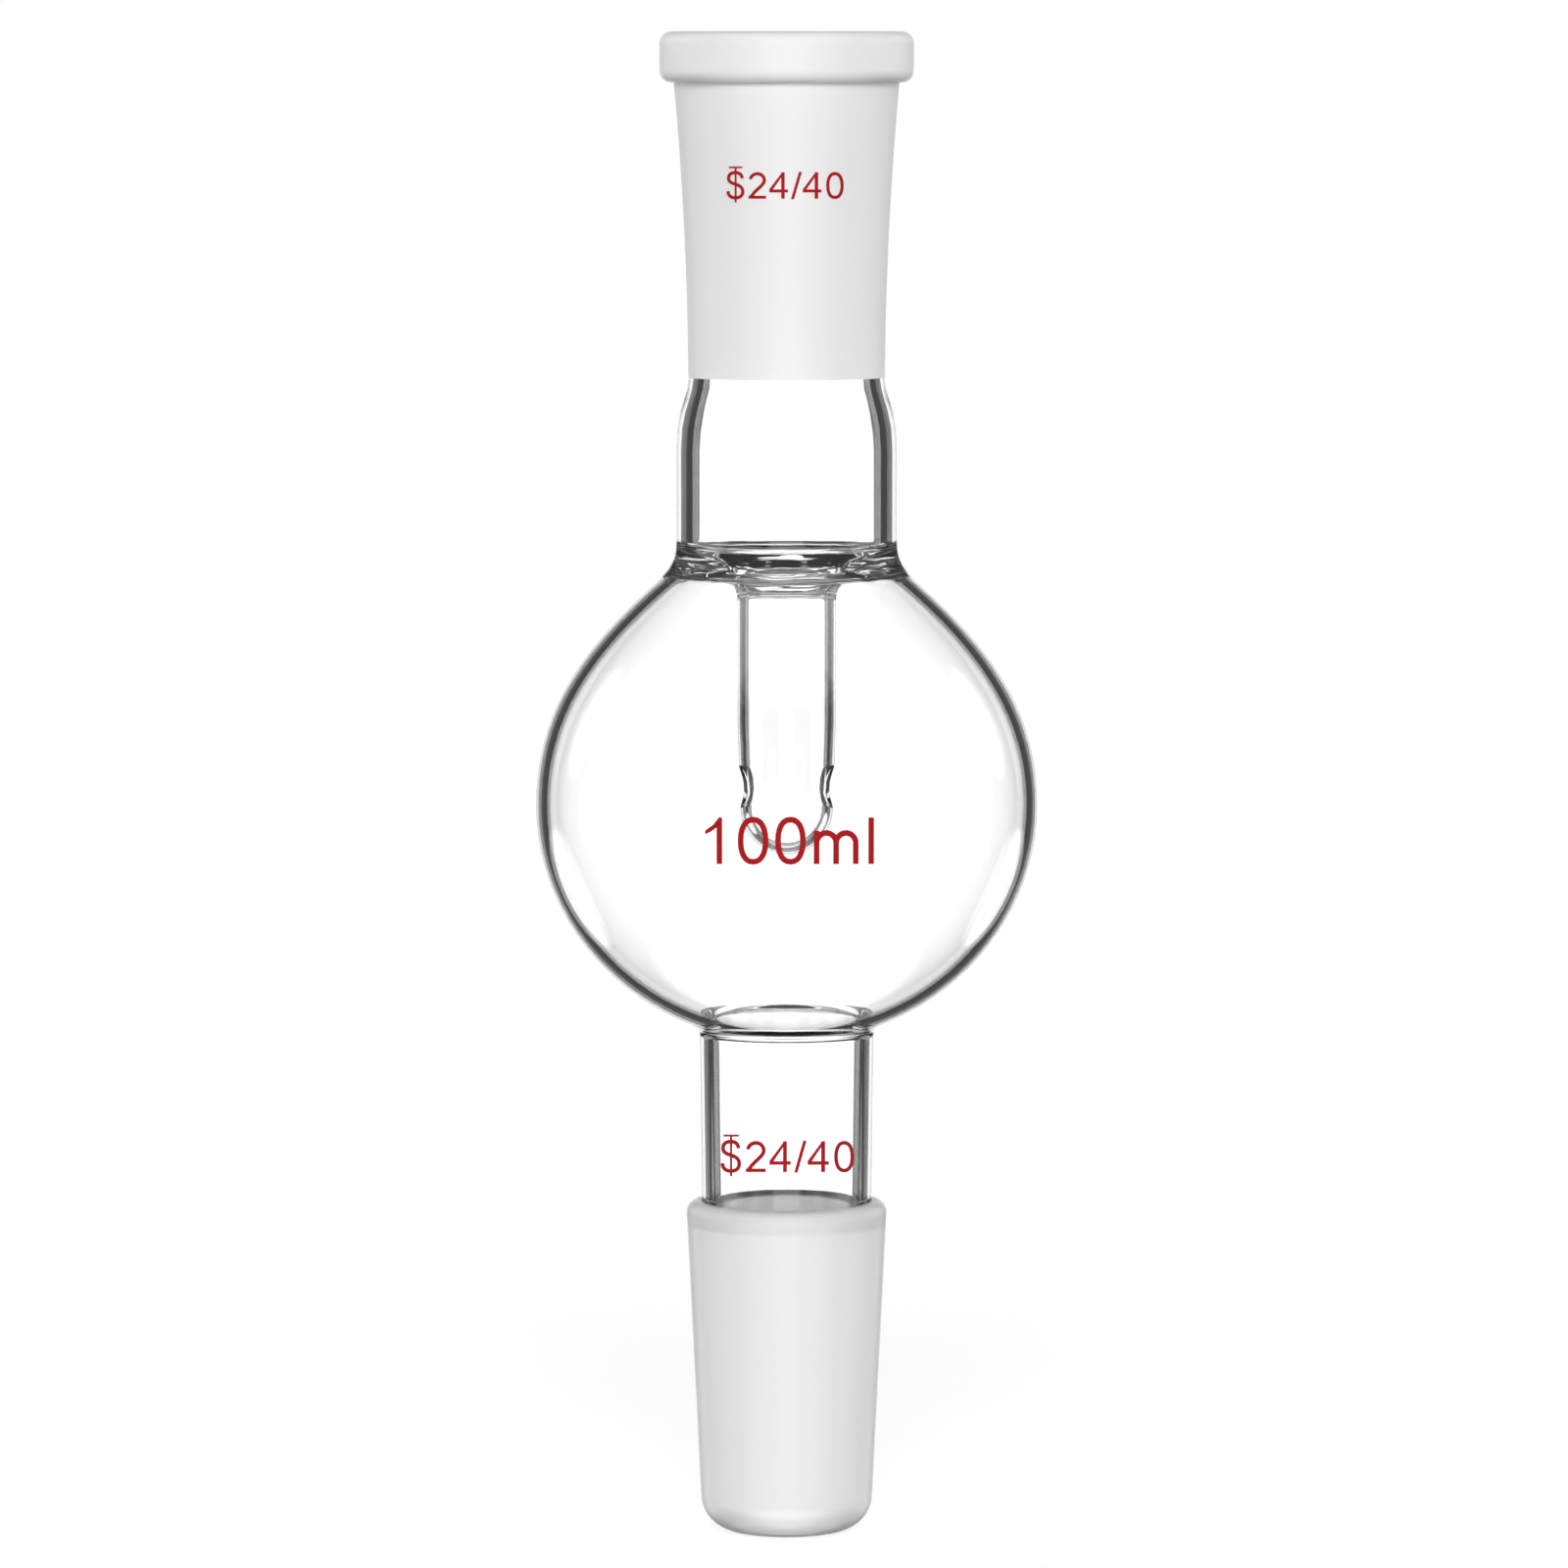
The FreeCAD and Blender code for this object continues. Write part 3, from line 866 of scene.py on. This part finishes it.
def lay_on_glass(text, section, baseline):
    """Bends a flat text round the glass. It runs straight as seen from the camera."""
    fall = (CAMERA_HEIGHT / MM - baseline) / (CAMERA_DISTANCE / MM)
    front = section.outer_radius(baseline)
    for vert in text.verts:
        across, height, level = vert.co
        height -= fall * (front - math.sqrt(front ** 2 - across ** 2))
        radius = section.outer_radius(height) - PRINT_SINK + (PRINT_SINK + PRINT_RISE) * level
        vert.co = Vector((across, -math.sqrt(radius ** 2 - across ** 2), height)) * MM


def printed_line(name, letters, section, material, left, width, baseline, capital):
    """A line of enamel letters on the front of the glass."""
    text = flat_text(letters)
    low = min(v.co.x for v in text.verts)
    stretch = width / (max(v.co.x for v in text.verts) - low)
    for vert in text.verts:
        vert.co.x = left + (vert.co.x - low) * stretch
        vert.co.y = baseline + vert.co.y * capital
    cut_grid(text)
    lay_on_glass(text, section, baseline)
    mesh = bpy.data.meshes.new(name)
    text.to_mesh(mesh)
    text.free()
    mesh.materials.append(material)
    piece = bpy.data.objects.new(name, mesh)
    bpy.context.scene.collection.objects.link(piece)
    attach(piece, "root")


def joint_size_letters():
    return [(taper_sign(), 0), (two(), 0.837), (four(), 1.624), (slash(), 2.441),
            (four(), 2.89), (zero(), 3.772)]


def volume_letters():
    return [(one(), 0), (zero(), 0.71), (zero(), 1.524), (letter_m(), 2.366), (letter_l(), 3.557)]


def make_print(section):
    enamel = print_material()
    printed_line("print_socket", joint_size_letters(), section, enamel, *SOCKET_PRINT)
    printed_line("print_bulb", volume_letters(), section, enamel, *BULB_PRINT)
    printed_line("print_lower_tube", joint_size_letters(), section, enamel, *LOWER_TUBE_PRINT)


def make_glass(section):
    glass = bpy.data.objects.new("glass_body", lathe(section))
    bpy.context.scene.collection.objects.link(glass)
    for finish in FINISHES:
        glass.data.materials.append(glass_material(*finish))
    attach(glass, "root")
    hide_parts("bump_trap")


def make_floor():
    """A white floor that keeps the object's shadow."""
    bpy.ops.mesh.primitive_plane_add(size=2 * FLOOR_HALF, location=(0, 0, -FLOOR_SINK * MM))
    floor = bpy.context.object
    floor.name = "floor"
    material, nodes, links, shader = node_material("floor_white")
    shader.inputs["Base Color"].default_value = (FLOOR_GREY, FLOOR_GREY, FLOOR_GREY, 1)
    shader.inputs["Roughness"].default_value = 1
    shader.inputs["Specular IOR Level"].default_value = 0
    shader.inputs["Emission Color"].default_value = (1, 1, 1, 1)
    path = nodes.new("ShaderNodeLightPath")
    lift = nodes.new("ShaderNodeMath")
    lift.operation = "MULTIPLY"
    lift.inputs[1].default_value = FLOOR_LIFT
    links.new(path.outputs["Is Camera Ray"], lift.inputs[0])
    links.new(lift.outputs[0], shader.inputs["Emission Strength"])
    floor.data.materials.append(material)
    floor.visible_transmission = floor.visible_glossy = False


class Sky:
    """Light from each direction, made of nodes that work on numbers."""

    def __init__(self, nodes, links):
        self.nodes, self.links = nodes, links
        split = nodes.new("ShaderNodeSeparateXYZ")
        links.new(nodes.new("ShaderNodeTexCoord").outputs["Generated"], split.inputs[0])
        self.across, self.along = (self.math("ABSOLUTE", split.outputs[axis]) for axis in "XY")
        self.rise = split.outputs["Z"]

    def math(self, operation, first, second=0.0):
        node = self.nodes.new("ShaderNodeMath")
        node.operation = operation
        for socket, value in zip(node.inputs, (first, second)):
            if isinstance(value, (int, float)):
                socket.default_value = value
            else:
                self.links.new(value, socket)
        return node.outputs[0]

    def change(self, value, start, end, low=0.0, high=1.0):
        """Goes smoothly from low at the start to high at the end."""
        node = self.nodes.new("ShaderNodeMapRange")
        node.interpolation_type = "SMOOTHSTEP"
        self.links.new(value, node.inputs["Value"])
        if start > end:
            start, end, low, high = end, start, high, low
        for name, number in (("From Min", start), ("From Max", end), ("To Min", low),
                             ("To Max", high)):
            node.inputs[name].default_value = number
        return node.outputs["Result"]

    def nearness(self, level, elevation):
        """The cosine of the angle to a direction at an elevation.

        level is the part of the ray along that direction without its elevation."""
        angle = math.radians(elevation)
        return self.math("ADD", self.math("MULTIPLY", level, math.cos(angle)),
                         self.math("MULTIPLY", self.rise, math.sin(angle)))

    def spot(self, level, elevation, outside, inside, low=0.0, high=1.0):
        """Goes from low outside an angle to high inside another."""
        return self.change(self.nearness(level, elevation), cosine(outside), cosine(inside),
                           low, high)


def cosine(degrees):
    return math.cos(math.radians(degrees))


def make_world():
    """White windows on the four sides of the glass and low ones at its corners, white above
    and below, and darker panels between them.

    They show in reflections and through the glass. The camera itself sees plain white, and
    matte surfaces get the same faint light from all sides."""
    world = bpy.data.worlds.new("studio")
    bpy.context.scene.world = world
    world.use_nodes = True
    nodes, links = world.node_tree.nodes, world.node_tree.links
    sky = Sky(nodes, links)
    square_on = sky.math("MAXIMUM", sky.across, sky.along)
    cornerwise = sky.math("MULTIPLY", sky.math("ADD", sky.across, sky.along), math.sqrt(0.5))
    panel = sky.spot(square_on, WINDOW_ELEVATION, *PANEL_EDGE, *PANEL_LIGHT)
    window = sky.spot(square_on, WINDOW_ELEVATION, *WINDOW_EDGE)
    low_window = sky.spot(cornerwise, LOW_WINDOW_ELEVATION, *LOW_WINDOW_EDGE)
    above = sky.change(sky.rise, *(cosine(90 - angle) for angle in TOP_EDGE))
    below = sky.change(sky.rise, *(-cosine(90 - angle) for angle in BOTTOM_EDGE))
    open_part = sky.math("MAXIMUM", sky.math("MAXIMUM", window, low_window),
                         sky.math("MAXIMUM", above, below))
    seen = sky.math("ADD", panel, sky.math("MULTIPLY", open_part,
                                           sky.math("SUBTRACT", WINDOW_LIGHT, panel)))
    path = nodes.new("ShaderNodeLightPath")
    in_glass = sky.math("MAXIMUM", path.outputs["Is Glossy Ray"],
                        path.outputs["Is Transmission Ray"])
    plain = sky.change(path.outputs["Is Camera Ray"], 0, 1, WORLD_LIGHT, 1)
    mix = nodes.new("ShaderNodeMix")
    links.new(in_glass, mix.inputs["Factor"])
    links.new(plain, mix.inputs["A"])
    links.new(seen, mix.inputs["B"])
    background = nodes["Background"]
    background.inputs["Color"].default_value = (1, 1, 1, 1)
    links.new(mix.outputs["Result"], background.inputs["Strength"])


def make_lamps():
    """A soft light from the front, and one from behind at each side, for the frosted surfaces."""
    for name, side, elevation, strength in LAMPS:
        light = bpy.data.lights.new(name, "SUN")
        light.energy = strength * math.pi
        light.angle = LAMP_SPREAD
        lamp = bpy.data.objects.new(name, light)
        bpy.context.scene.collection.objects.link(lamp)
        lamp.rotation_euler = (math.radians(90 - elevation), 0, math.radians(side))
        lamp.visible_glossy = lamp.visible_transmission = False


def make_camera():
    camera = bpy.data.cameras.new("camera")
    camera.sensor_width = SENSOR_WIDTH
    camera.lens = FOCAL_PIXELS / IMAGE_PIXELS * SENSOR_WIDTH
    placed = bpy.data.objects.new("camera", camera)
    bpy.context.scene.collection.objects.link(placed)
    placed.location = (CAMERA_SIDE, -CAMERA_DISTANCE, CAMERA_HEIGHT)
    placed.rotation_euler = (math.pi / 2 - CAMERA_FALL, 0, 0)
    bpy.context.scene.camera = placed


outline = glass_section()
make_glass(outline)
make_print(outline)
make_floor()
make_world()
make_lamps()
make_camera()
bpy.context.scene.view_settings.view_transform = "Standard"
